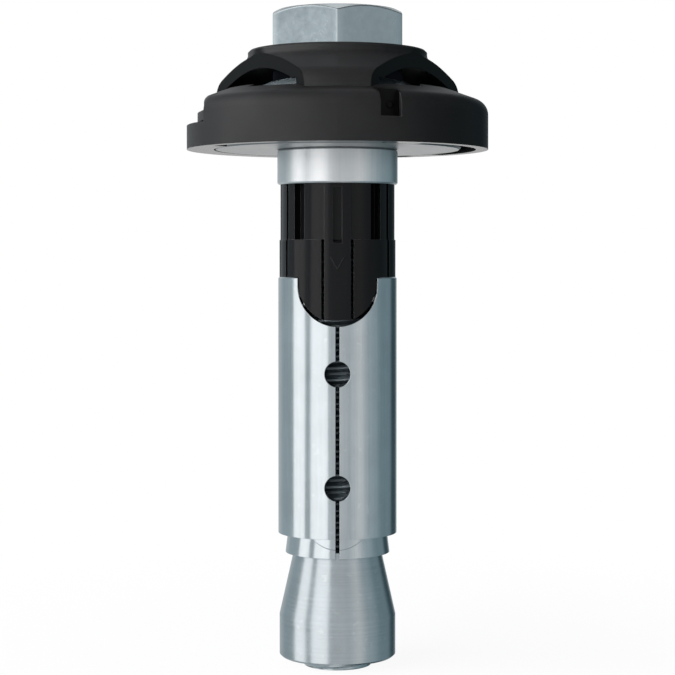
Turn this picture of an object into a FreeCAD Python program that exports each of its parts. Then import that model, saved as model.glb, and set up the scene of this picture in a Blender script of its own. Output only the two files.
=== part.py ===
import FreeCAD, Part
import math
import os

# Heavy-duty sleeve anchor, M12 bolt for an 18 mm hole, before setting
#
# The axis is Z, with the bolt's threaded end on z = 0 and the hexagon head on top.
# The front is -Y: the slit of the expansion sleeve, the tongue of the crumple sleeve and
# one spoke of the cage face that way. Angles are azimuths from the front towards +X.
# Everything along the axis is stacked from the bolt's end upwards, each piece on the last.

# Bolt and its one-piece head
BOLT_D = 12.0
BOLT_END_D = 10.0
BOLT_END_BEVEL = 1.0
END_STANDOFF = 1.4
HEX_ACROSS_FLATS = 19.0
HEX_FACE_D = 18.4
HEX_BEVEL_ANGLE = 30.0
HEAD_H = 13.4
FLANGE_D = 25.2
FLANGE_EDGE_T = 1.8
FLANGE_CONE_ANGLE = 23.5
FLANGE_EDGE_BEVEL = 0.25

# Cone on the threaded end, a step smaller in radius than the sleeve above it
CONE_STEP = 0.18
CONE_LENGTH = 16.2
CONE_LAND_H = 5.9
CONE_NOSE_D = 12.9
CONE_BEVEL = 0.3
THREAD_CLEARANCE = 0.05

# Expansion sleeve
SLEEVE_D = 17.76
SLEEVE_LENGTH = 41.2
SLEEVE_BORE_CLEARANCE = 0.25
SLEEVE_TOP_BEVEL = 0.2
NECK_WALL = 1.2
LIP_FLARE = 0.35
LIP_H = 2.95
NOSE_OVERLAP = 0.65
NOSE_CLEARANCE = 0.35
SLIT_W = 0.62
SLIT_HOLE_D = 3.8
SLIT_HOLE_HEIGHTS = (10.45, 27.1)
KEYWAY_W = 11.7
KEYWAY_DEPTH = 7.2
SCOOP_R = 5.3
SCOOP_DEPTH = 1.7

# Crumple sleeve of moulded plastic, its base a step inside the steel sleeve and its barrel another step in
CRUMPLE_H = 13.75
CRUMPLE_BASE_STEP = 0.18
CRUMPLE_BASE_H = 5.5
CRUMPLE_BARREL_STEP = 0.15
CRUMPLE_BORE_CLEARANCE = 0.2
KEY_SIDE_CLEARANCE = 0.1
KEY_END_CLEARANCE = 0.6
TONGUE_END_CLEARANCE = 0.95
TONGUE_W = 3.9
TONGUE_GAP = 0.4
TONGUE_GROOVE_W = 1.3
TONGUE_GROOVE_DEPTH = 0.55
TONGUE_GROOVE_TOP = 0.6
FLUTE_DEPTH = 1.2
FLUTE_FROM = 34.5
FLUTE_TO = 47.5
CREASE_DEPTH = 0.45
CREASE_HALF_ANGLE = 2.0
CREASE_ANGLES = (59.5, 78.0)

# Spacer ring, plate washer and conical spring washer
SPACER_D = 18.0
SPACER_H = 5.2
SPACER_BEVEL = 0.25
SPACER_BORE_CLEARANCE = 0.2
WASHER_D = 36.9
WASHER_T = 3.5
WASHER_BORE_CLEARANCE = 0.3
WASHER_BEVEL = 0.3
SPRING_D = 29.0
SPRING_T = 2.2
SPRING_RISE = 1.55
SPRING_BORE_CLEARANCE = 0.35
HEAD_RUNNING_GAP = 0.05

# Moulded cage: a rim round the washer and a dome over the flange
CAGE_D = 45.0
RIM_WALL = 1.8
RIM_TOP_H = 6.7
RIM_ROUND = 2.3
RIM_SLOPE_ANGLE = 20.0
WASHER_POCKET_CLEARANCE = 0.05
RIM_GROOVE_H = 3.0
DOME_D = 38.4
DOME_WALL = 2.3
DOME_SLOPE_ANGLE = 32.0
DOME_SHOULDER_ROUND = 3.0
COLLAR_BORE_CLEARANCE = 0.43
COLLAR_WALL = 2.0
COLLAR_TOP_H = 14.7
COLLAR_NECK_ROUND = 0.9
COLLAR_EDGE_BEVEL = 0.3
COLLAR_SLOPE_H = 13.5
CEILING_SLOPE_H = 12.8
FLAT_STANDOFF = 0.05
FLAT_ANGLES = (-60.0, 60.0, 180.0)
CREST_POCKETS = ((-45.0, -19.0), (19.0, 44.0))
CREST_POCKET_D = 36.1
CREST_POCKET_DEPTH = 3.0
LUGS = ((-160.0, -60.0), (20.0, 36.0), (128.0, 144.0))
SIGHT_NOTCH_ANGLE = 19.4
SIGHT_NOTCH_W = 3.1
SIGHT_NOTCH_DEPTH = 1.8
LEDGE_H = 3.5
RECESS_FROM = -120.0
RECESS_TO = -58.7
RECESS_DEPTH = 2.55
RECESS_SHOULDER_W = 0.65
RECESS_SHOULDER_DROP = 0.2
RECESS_SHOULDER_ANGLE = 40.0
RECESS_SHOULDER_ROUND = 1.0
LATCH_PROUD = 0.95
LATCH_SLOT = 0.45
LATCH_SIDE_H = 1.4
LATCH_TOP_H = 1.9
LATCH_INSET_ANGLE = 4.0

# Heights of the stack, each piece on the one below it
CONE_Z = END_STANDOFF
CONE_TOP_Z = CONE_Z + CONE_LENGTH
SLEEVE_Z = CONE_TOP_Z - NOSE_OVERLAP
SLEEVE_TOP_Z = SLEEVE_Z + SLEEVE_LENGTH
NECK_TOP_Z = SLEEVE_Z + LIP_H
KEYWAY_END_Z = SLEEVE_TOP_Z - KEYWAY_DEPTH
CRUMPLE_TOP_Z = SLEEVE_TOP_Z + CRUMPLE_H
WASHER_Z = CRUMPLE_TOP_Z + SPACER_H
WASHER_TOP_Z = WASHER_Z + WASHER_T
FLANGE_Z = WASHER_TOP_Z + SPRING_T + SPRING_RISE + HEAD_RUNNING_GAP
HEAD_TOP_Z = FLANGE_Z + HEAD_H

# Radii and the room that cutting tools take past a surface
BOLT_R = BOLT_D / 2
HEX_R = HEX_ACROSS_FLATS / 2
HEX_CORNER_R = HEX_R / math.cos(math.radians(30))
SLEEVE_R = SLEEVE_D / 2
SLEEVE_BORE_R = BOLT_R + SLEEVE_BORE_CLEARANCE
NECK_R = SLEEVE_BORE_R + NECK_WALL
LIP_R = NECK_R + LIP_FLARE
CONE_R = SLEEVE_R - CONE_STEP
CRUMPLE_BASE_R = SLEEVE_R - CRUMPLE_BASE_STEP
CRUMPLE_BARREL_R = CRUMPLE_BASE_R - CRUMPLE_BARREL_STEP
COLLAR_BORE_R = HEX_CORNER_R + COLLAR_BORE_CLEARANCE
COLLAR_R = COLLAR_BORE_R + COLLAR_WALL
RIM_R = CAGE_D / 2
DOME_R = DOME_D / 2
CAVITY_R = DOME_R - DOME_WALL
PAST = 1.0
FULL_TURN = 360.0
QUARTER_TURN = 90.0


def slope(angle):
    """Rise for each millimetre of run on a face at this angle to the horizontal."""
    return math.tan(math.radians(angle))


def at(radius, azimuth, z=0.0):
    """Point on a radius, at an azimuth from the front towards +X."""
    turn = math.radians(azimuth)
    return FreeCAD.Vector(radius * math.sin(turn), -radius * math.cos(turn), z)


def turned(shape, azimuth):
    """The shape turned about the axis by an azimuth."""
    copy = shape.copy()
    copy.rotate(FreeCAD.Vector(0, 0, 0), FreeCAD.Vector(0, 0, 1), azimuth)
    return copy


def outline(corners):
    """Closed face in the plane of X and Z from corners (radius, height) or (radius, height, rounding)."""
    points = [FreeCAD.Vector(corner[0], 0, corner[1]) for corner in corners]
    rounds = [corner[2] if len(corner) > 2 else 0.0 for corner in corners]
    starts, ends, arcs = [], [], []
    for index, (point, radius) in enumerate(zip(points, rounds)):
        if not radius:
            starts.append(point)
            ends.append(point)
            arcs.append(None)
            continue
        back = (points[index - 1] - point).normalize()
        ahead = (points[(index + 1) % len(points)] - point).normalize()
        half = back.getAngle(ahead) / 2
        starts.append(point + back * (radius / math.tan(half)))
        ends.append(point + ahead * (radius / math.tan(half)))
        middle = point + (back + ahead).normalize() * (radius / math.sin(half) - radius)
        arcs.append(Part.Arc(starts[-1], middle, ends[-1]).toShape())
    edges = []
    for index, arc in enumerate(arcs):
        if arc:
            edges.append(arc)
        following = starts[(index + 1) % len(points)]
        if ends[index].distanceToPoint(following) > Part.Precision.confusion():
            edges.append(Part.makeLine(ends[index], following))
    return Part.Face(Part.Wire(edges))


def turned_solid(corners, start=0.0, end=FULL_TURN):
    """Solid of revolution about the axis, whole or between two azimuths."""
    solid = outline(corners).revolve(FreeCAD.Vector(0, 0, 0), FreeCAD.Vector(0, 0, 1), end - start)
    return turned(solid, start - QUARTER_TURN)


def ring(inner_r, outer_r, bottom, top, start=0.0, end=FULL_TURN):
    """Ring with a square section, whole or between two azimuths."""
    return turned_solid([(inner_r, bottom), (outer_r, bottom), (outer_r, top), (inner_r, top)], start, end)


def radial_slot(width, inner_r, outer_r, bottom, top, azimuth):
    """Box that runs outwards along a radius."""
    corner = FreeCAD.Vector(-width / 2, -outer_r, bottom)
    return turned(Part.makeBox(width, outer_r - inner_r, top - bottom, corner), azimuth)


def radial_drill(radius, inner_r, outer_r, z, azimuth):
    """Cylinder that runs outwards along a radius."""
    return Part.makeCylinder(radius, outer_r - inner_r, at(inner_r, azimuth, z), at(1.0, azimuth))


def u_shape(width, end_z, top_z, inner_r, outer_r, azimuth):
    """Slot with a round lower end, seen along a radius."""
    centre_z = end_z + width / 2
    straight = radial_slot(width, inner_r, outer_r, centre_z, top_z, azimuth)
    return straight.fuse(radial_drill(width / 2, inner_r, outer_r, centre_z, azimuth))


def mirrored_pairs(low, high):
    """The four places of a feature that repeats on both sides of the front and of the back."""
    return [(low, high), (-high, -low), (180 - high, 180 - low), (180 + low, 180 + high)]


def flange_bolt():
    """Bolt with its hexagon head and conical flange, one forging."""
    flange_r = FLANGE_D / 2
    edge_top = FLANGE_Z + FLANGE_EDGE_T
    bevel_r = flange_r - FLANGE_EDGE_BEVEL
    cone_top = edge_top + (bevel_r - BOLT_R) * slope(FLANGE_CONE_ANGLE)
    turned_part = turned_solid([
        (0, 0),
        (BOLT_END_D / 2, 0),
        (BOLT_R, BOLT_END_BEVEL),
        (BOLT_R, FLANGE_Z),
        (bevel_r, FLANGE_Z),
        (flange_r, FLANGE_Z + FLANGE_EDGE_BEVEL),
        (flange_r, edge_top - FLANGE_EDGE_BEVEL),
        (bevel_r, edge_top),
        (BOLT_R, cone_top),
        (0, cone_top),
    ])
    points = [at(HEX_CORNER_R, 60 * side, edge_top) for side in range(7)]
    prism = Part.Face(Part.makePolygon(points)).extrude(FreeCAD.Vector(0, 0, HEAD_TOP_Z - edge_top))
    face_r = HEX_FACE_D / 2
    fall = (flange_r - face_r) * slope(HEX_BEVEL_ANGLE)
    bevel = turned_solid([
        (0, edge_top),
        (flange_r, edge_top),
        (flange_r, HEAD_TOP_Z - fall),
        (face_r, HEAD_TOP_Z),
        (0, HEAD_TOP_Z),
    ])
    return turned_part.fuse(prism.common(bevel)).removeSplitter()


def cone_radius(z):
    """Radius of the cone's tapered face at a height."""
    land_top = CONE_Z + CONE_BEVEL + CONE_LAND_H
    share = (z - land_top) / (CONE_TOP_Z - land_top)
    return CONE_R + share * (CONE_NOSE_D / 2 - CONE_R)


def cone():
    """Threaded cone that the bolt draws into the sleeve."""
    bore_r = BOLT_R + THREAD_CLEARANCE
    return turned_solid([
        (bore_r, CONE_Z),
        (CONE_R - CONE_BEVEL, CONE_Z),
        (CONE_R, CONE_Z + CONE_BEVEL),
        (CONE_R, CONE_Z + CONE_BEVEL + CONE_LAND_H),
        (CONE_NOSE_D / 2, CONE_TOP_Z),
        (bore_r, CONE_TOP_Z),
    ])


def expansion_sleeve():
    """Steel sleeve with keyways for the crumple sleeve, and a thin neck with a flared lip.

    The front slit runs from end to end and the back one stops at the lower hole, so it stays one piece.
    """
    seat_z = CONE_TOP_Z + NOSE_CLEARANCE
    body = turned_solid([
        (SLEEVE_BORE_R, seat_z),
        (cone_radius(seat_z) + NOSE_CLEARANCE, seat_z),
        (cone_radius(SLEEVE_Z) + NOSE_CLEARANCE, SLEEVE_Z),
        (LIP_R, SLEEVE_Z),
        (NECK_R, NECK_TOP_Z),
        (SLEEVE_R, NECK_TOP_Z),
        (SLEEVE_R, SLEEVE_TOP_Z - SLEEVE_TOP_BEVEL),
        (SLEEVE_R - SLEEVE_TOP_BEVEL, SLEEVE_TOP_Z),
        (SLEEVE_BORE_R, SLEEVE_TOP_Z),
    ])
    far = SLEEVE_R + PAST
    lower_hole_z = SLEEVE_Z + min(SLIT_HOLE_HEIGHTS)
    slit_tops = {0.0: KEYWAY_END_Z + PAST, 180.0: lower_hole_z}
    cuts = []
    for azimuth, slit_top in slit_tops.items():
        cuts.append(u_shape(KEYWAY_W, KEYWAY_END_Z, SLEEVE_TOP_Z + PAST, 0, far, azimuth))
        cuts.append(radial_slot(SLIT_W, 0, far, SLEEVE_Z - PAST, slit_top, azimuth))
        for height in SLIT_HOLE_HEIGHTS:
            cuts.append(radial_drill(SLIT_HOLE_D / 2, 0, far, SLEEVE_Z + height, azimuth))
        drill = radial_drill(SCOOP_R, 0, far, NECK_TOP_Z - SCOOP_DEPTH + SCOOP_R, azimuth)
        flare = ring(NECK_R, LIP_R + PAST, SLEEVE_Z, NECK_TOP_Z)
        cuts.append(drill.common(flare))
    return body.cut(cuts).removeSplitter()


def crumple_sleeve():
    """Moulded sleeve that collapses when the anchor is set, with keys in the steel sleeve's keyways."""
    bore_r = BOLT_R + CRUMPLE_BORE_CLEARANCE
    base_top = SLEEVE_TOP_Z + CRUMPLE_BASE_H
    body = ring(bore_r, CRUMPLE_BASE_R, SLEEVE_TOP_Z, base_top)
    body = body.fuse(ring(bore_r, CRUMPLE_BARREL_R, base_top, CRUMPLE_TOP_Z))
    tube = ring(bore_r, CRUMPLE_BASE_R, KEYWAY_END_Z, CRUMPLE_TOP_Z)
    key_w = KEYWAY_W - 2 * KEY_SIDE_CLEARANCE
    far = CRUMPLE_BASE_R + PAST
    for azimuth in (0.0, 180.0):
        key_end = KEYWAY_END_Z + KEY_END_CLEARANCE
        key = u_shape(key_w, key_end, SLEEVE_TOP_Z + PAST, 0, far, azimuth).common(tube)
        tongue = radial_slot(TONGUE_W, 0, far, SLEEVE_TOP_Z, CRUMPLE_TOP_Z, azimuth).common(tube)
        body = body.fuse([key, tongue])
    cuts = []
    for azimuth in (0.0, 180.0):
        for side in (-1, 1):
            gap = radial_slot(TONGUE_GAP, 0, far, KEYWAY_END_Z - PAST, base_top, azimuth)
            offset = at(side * (TONGUE_W + TONGUE_GAP) / 2, azimuth + QUARTER_TURN)
            gap.translate(offset)
            cuts.append(gap)
        tongue_end = KEYWAY_END_Z + TONGUE_END_CLEARANCE
        cuts.append(radial_slot(TONGUE_W + TONGUE_GAP, 0, far, KEYWAY_END_Z - PAST, tongue_end, azimuth))
        cuts.append(tongue_groove(azimuth))
    flute_r = CRUMPLE_BARREL_R - FLUTE_DEPTH
    crease_r = CRUMPLE_BARREL_R - CREASE_DEPTH
    for start, end in mirrored_pairs(FLUTE_FROM, FLUTE_TO):
        cuts.append(ring(flute_r, far, base_top, CRUMPLE_TOP_Z + PAST, start, end))
    for angle in CREASE_ANGLES:
        for start, end in mirrored_pairs(angle - CREASE_HALF_ANGLE, angle + CREASE_HALF_ANGLE):
            cuts.append(ring(crease_r, far, SLEEVE_TOP_Z - PAST, CRUMPLE_TOP_Z + PAST, start, end))
    return body.cut(cuts).removeSplitter()


def tongue_groove(azimuth):
    """Cutter for the groove in a tongue, which runs out to the surface on a slope at its lower end."""
    floor_r = CRUMPLE_BASE_R - TONGUE_GROOVE_DEPTH
    far = CRUMPLE_BASE_R + PAST
    top = CRUMPLE_TOP_Z - TONGUE_GROOVE_TOP
    end = SLEEVE_TOP_Z + CRUMPLE_BASE_H
    section = Part.makePolygon([
        FreeCAD.Vector(-TONGUE_GROOVE_W / 2, -floor_r, end),
        FreeCAD.Vector(-TONGUE_GROOVE_W / 2, -floor_r, top),
        FreeCAD.Vector(-TONGUE_GROOVE_W / 2, -far, top),
        FreeCAD.Vector(-TONGUE_GROOVE_W / 2, -far, end - (far - floor_r)),
        FreeCAD.Vector(-TONGUE_GROOVE_W / 2, -floor_r, end),
    ])
    return turned(Part.Face(section).extrude(FreeCAD.Vector(TONGUE_GROOVE_W, 0, 0)), azimuth)


def spacer_ring():
    """Plain steel ring between the crumple sleeve and the plate washer."""
    outer_r = SPACER_D / 2
    bore_r = BOLT_R + SPACER_BORE_CLEARANCE
    return turned_solid([
        (bore_r, CRUMPLE_TOP_Z),
        (outer_r - SPACER_BEVEL, CRUMPLE_TOP_Z),
        (outer_r, CRUMPLE_TOP_Z + SPACER_BEVEL),
        (outer_r, WASHER_Z - SPACER_BEVEL),
        (outer_r - SPACER_BEVEL, WASHER_Z),
        (bore_r, WASHER_Z),
    ])


def base_washer():
    """Thick plate washer, flush with the underside of the cage."""
    outer_r = WASHER_D / 2
    bore_r = BOLT_R + WASHER_BORE_CLEARANCE
    return turned_solid([
        (bore_r, WASHER_Z),
        (outer_r - WASHER_BEVEL, WASHER_Z),
        (outer_r, WASHER_Z + WASHER_BEVEL),
        (outer_r, WASHER_TOP_Z),
        (bore_r, WASHER_TOP_Z),
    ])


def spring_washer():
    """Conical spring washer under the flange, its outer edge on the plate washer."""
    outer_r = SPRING_D / 2
    bore_r = BOLT_R + SPRING_BORE_CLEARANCE
    return turned_solid([
        (bore_r, WASHER_TOP_Z + SPRING_RISE),
        (outer_r, WASHER_TOP_Z),
        (outer_r, WASHER_TOP_Z + SPRING_T),
        (bore_r, WASHER_TOP_Z + SPRING_RISE + SPRING_T),
    ])


def rim_top(radius):
    """Height of the rim's sloping top at a radius."""
    return WASHER_Z + RIM_TOP_H + (RIM_R - radius) * slope(RIM_SLOPE_ANGLE)


def cage_rim():
    """Rim with the washer's pocket under it and a groove between the pocket and the outer wall."""
    groove_r = RIM_R - RIM_WALL
    pocket_r = WASHER_D / 2 + WASHER_POCKET_CLEARANCE
    groove_top = WASHER_Z + RIM_GROOVE_H
    rim = turned_solid([
        (CAVITY_R, WASHER_TOP_Z),
        (pocket_r, WASHER_TOP_Z),
        (pocket_r, groove_top),
        (groove_r, groove_top),
        (groove_r, WASHER_Z),
        (RIM_R, WASHER_Z),
        (RIM_R, rim_top(RIM_R), RIM_ROUND),
        (CAVITY_R, rim_top(CAVITY_R)),
    ])
    overlap = RIM_WALL / 2
    lugs = []
    for start, end in LUGS:
        lugs.append(ring(pocket_r, groove_r + overlap, WASHER_Z, groove_top + overlap, start, end))
    return rim.fuse(lugs)


def cage_dome():
    """Domed shell with a collar round the hexagon, cut flat on three sides, which opens its windows."""
    foot_z = rim_top(DOME_R) - PAST
    neck_z = WASHER_Z + COLLAR_SLOPE_H
    ceiling_z = WASHER_Z + CEILING_SLOPE_H
    top_z = WASHER_Z + COLLAR_TOP_H
    dome = turned_solid([
        (CAVITY_R, foot_z),
        (DOME_R, foot_z),
        (DOME_R, neck_z - (DOME_R - COLLAR_R) * slope(DOME_SLOPE_ANGLE), DOME_SHOULDER_ROUND),
        (COLLAR_R, neck_z, COLLAR_NECK_ROUND),
        (COLLAR_R, top_z - COLLAR_EDGE_BEVEL),
        (COLLAR_R - COLLAR_EDGE_BEVEL, top_z),
        (COLLAR_BORE_R, top_z),
        (COLLAR_BORE_R, ceiling_z),
        (CAVITY_R, ceiling_z - (CAVITY_R - COLLAR_BORE_R) * slope(DOME_SLOPE_ANGLE)),
    ])
    flat_r = COLLAR_R + FLAT_STANDOFF
    far = DOME_R + PAST
    flats = []
    for azimuth in FLAT_ANGLES:
        flats.append(radial_slot(2 * DOME_D, flat_r, far, foot_z - PAST, top_z + PAST, azimuth))
    return dome.cut(flats)


def cage_recess():
    """Cutter for the recess in the rim's side, which leaves a rounded shoulder above its wall."""
    wall_r = RIM_R - RECESS_DEPTH
    inner_r = wall_r - RECESS_SHOULDER_W
    far = RIM_R + PAST
    ledge_z = WASHER_Z + LEDGE_H
    above = WASHER_Z + COLLAR_TOP_H + PAST
    shoulder_z = rim_top(wall_r) - RECESS_SHOULDER_DROP
    return turned_solid([
        (wall_r, ledge_z),
        (far, ledge_z),
        (far, above),
        (inner_r, above),
        (inner_r, shoulder_z + RECESS_SHOULDER_W * slope(RECESS_SHOULDER_ANGLE)),
        (wall_r, shoulder_z, RECESS_SHOULDER_ROUND),
    ], RECESS_FROM, RECESS_TO)


def cage():
    """Moulded cage that holds the plate washer and keeps the bolt's flange under its collar."""
    far = RIM_R + PAST
    above = WASHER_Z + COLLAR_TOP_H + PAST
    ledge_z = WASHER_Z + LEDGE_H
    body = cage_rim().fuse(cage_dome())
    cuts = []
    crest_r = CREST_POCKET_D / 2
    floor_z = rim_top(crest_r) - CREST_POCKET_DEPTH
    for start, end in CREST_POCKETS:
        cuts.append(ring(CAVITY_R - PAST, crest_r, floor_z, rim_top(CAVITY_R) + PAST / 2, start, end))
    notch_r = RIM_R - SIGHT_NOTCH_DEPTH
    cuts.append(radial_slot(SIGHT_NOTCH_W, notch_r, far, ledge_z, above, SIGHT_NOTCH_ANGLE))
    cuts.append(cage_recess())
    recess_r = RIM_R - RECESS_DEPTH
    latch_z = ledge_z + LATCH_SLOT
    latch = turned_solid([
        (recess_r - PAST / 2, latch_z),
        (recess_r + LATCH_PROUD, latch_z),
        (recess_r + LATCH_PROUD, latch_z + LATCH_SIDE_H),
        (recess_r, latch_z + LATCH_TOP_H),
        (recess_r - PAST / 2, latch_z + LATCH_TOP_H),
    ], RECESS_FROM + LATCH_INSET_ANGLE, RECESS_TO - LATCH_INSET_ANGLE)
    return body.cut(cuts).fuse(latch).removeSplitter()


PIECES = {
    "flange_bolt": flange_bolt,
    "cone": cone,
    "expansion_sleeve": expansion_sleeve,
    "crumple_sleeve": crumple_sleeve,
    "spacer_ring": spacer_ring,
    "base_washer": base_washer,
    "spring_washer": spring_washer,
    "cage": cage,
}

os.makedirs("parts", exist_ok=True)
for name, build in PIECES.items():
    shape = build()
    print(name, len(shape.Solids), round(shape.Volume, 2), shape.isValid())
    shape.exportStep(f"parts/{name}.step")
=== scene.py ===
"""Finishes of a sleeve anchor: zinc plated bolt, cone, sleeve and washers, and two black plastic mouldings.

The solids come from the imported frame. This script gives them their materials, puts a bolt with a cut thread
in the place of the plain one, adds the small marks of the mouldings, and sets up the studio.
"""

import logging
import math
from collections.abc import Iterable, Sequence
from dataclasses import dataclass
from enum import Enum

import bmesh
import bpy
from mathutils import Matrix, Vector


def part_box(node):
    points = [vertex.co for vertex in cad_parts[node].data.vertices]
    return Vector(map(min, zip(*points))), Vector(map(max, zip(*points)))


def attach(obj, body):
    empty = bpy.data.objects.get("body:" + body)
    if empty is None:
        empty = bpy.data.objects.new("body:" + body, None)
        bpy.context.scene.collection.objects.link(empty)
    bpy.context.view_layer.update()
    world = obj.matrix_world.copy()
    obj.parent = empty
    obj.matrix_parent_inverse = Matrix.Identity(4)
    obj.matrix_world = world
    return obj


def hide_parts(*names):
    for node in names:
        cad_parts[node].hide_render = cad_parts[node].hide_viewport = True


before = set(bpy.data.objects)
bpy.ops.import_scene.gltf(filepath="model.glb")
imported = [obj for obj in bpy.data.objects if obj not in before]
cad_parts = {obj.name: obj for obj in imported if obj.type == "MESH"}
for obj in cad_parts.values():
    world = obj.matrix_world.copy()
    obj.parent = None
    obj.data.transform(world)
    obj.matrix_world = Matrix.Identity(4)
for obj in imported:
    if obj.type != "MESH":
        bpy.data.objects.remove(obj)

MM = 0.001
MERGE_DISTANCE = 0.0005 * MM
WHITE = (1.0, 1.0, 1.0)
LOG = logging.getLogger("sleeve_anchor")

# Degrees from the front to the middle of the sight notch in the cage's rim.
NOTCH_AZIMUTH = 19.4

# Middle of a noise's values.
NOISE_MIDDLE = 0.5

# Wear starts, and is full, where 1 less the cosine between the rounded normal and the face's own is this.
WEAR_START = 0.01
WEAR_FULL = 0.12
WEAR_SAMPLES = 6

Colour = tuple[float, float, float]
Point = tuple[float, float, float]


def polar(radius: float, azimuth: float, z: float) -> Point:
    """Point at a radius and an azimuth in degrees, counted from the front (-Y) towards +X."""
    turn = math.radians(azimuth)
    return radius * math.sin(turn), -radius * math.cos(turn), z


def outward(azimuth: float) -> Point:
    """Level direction away from the axis at an azimuth in degrees."""
    return polar(1.0, azimuth, 0.0)


def metres(point: Point) -> Point:
    """Point in metres from one in millimetres."""
    return tuple(MM * part for part in point)


def scaled(colour: Colour, share: float, lift: float = 0.0) -> Colour:
    """Share of a colour, lifted by an equal amount of red, green and blue."""
    return tuple(share * part + lift for part in colour)


class Channel:
    """Number on an output of a shader node, with Python's operators for its maths."""

    def __init__(self, graph: "Graph", socket: bpy.types.NodeSocket) -> None:
        """Wraps an output socket of a graph."""
        self.graph = graph
        self.socket = socket

    def __add__(self, other: "Channel | float") -> "Channel":
        """Sum."""
        return self.graph.math("ADD", self, other)

    __radd__ = __add__

    def __sub__(self, other: "Channel | float") -> "Channel":
        """Difference."""
        return self.graph.math("SUBTRACT", self, other)

    def __rsub__(self, other: float) -> "Channel":
        """Difference with the number on the left."""
        return self.graph.math("SUBTRACT", other, self)

    def __mul__(self, other: "Channel | float") -> "Channel":
        """Product."""
        return self.graph.math("MULTIPLY", self, other)

    __rmul__ = __mul__

    def __truediv__(self, other: "Channel | float") -> "Channel":
        """Quotient."""
        return self.graph.math("DIVIDE", self, other)

    def __rtruediv__(self, other: float) -> "Channel":
        """Quotient with the number on the left."""
        return self.graph.math("DIVIDE", other, self)

    def __abs__(self) -> "Channel":
        """Amount without its sign."""
        return self.graph.math("ABSOLUTE", self)

    def at_least(self, other: "Channel | float") -> "Channel":
        """The higher of the two."""
        return self.graph.math("MAXIMUM", self, other)

    def sway(self, reach: float) -> "Channel":
        """A noise's departure from its middle, times a reach."""
        return (self - NOISE_MIDDLE) * reach

    def ramp(self, low: float, high: float) -> "Channel":
        """Smooth step.

        Args:
            low: Value up to which the step is 0.
            high: Value from which the step is 1.

        Returns:
            The step's value.
        """
        node = self.graph.node(
            "ShaderNodeMapRange",
            {"interpolation_type": "SMOOTHSTEP"},
            {"Value": self, "From Min": low, "From Max": high},
        )
        return Channel(self.graph, node.outputs["Result"])


Input = Channel | bpy.types.NodeSocket | float | Sequence[float]


@dataclass(frozen=True)
class Mottle:
    """Noise of a finish, with its scale in cells a metre, and the range over which its mask rises to 1."""

    scale: float
    detail: float = 2.0
    roughness: float = 0.5
    low: float = 0.3
    high: float = 0.7

    def mask(self, noise: Channel) -> Channel:
        """Mask made of this noise."""
        return noise.ramp(self.low, self.high)


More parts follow.
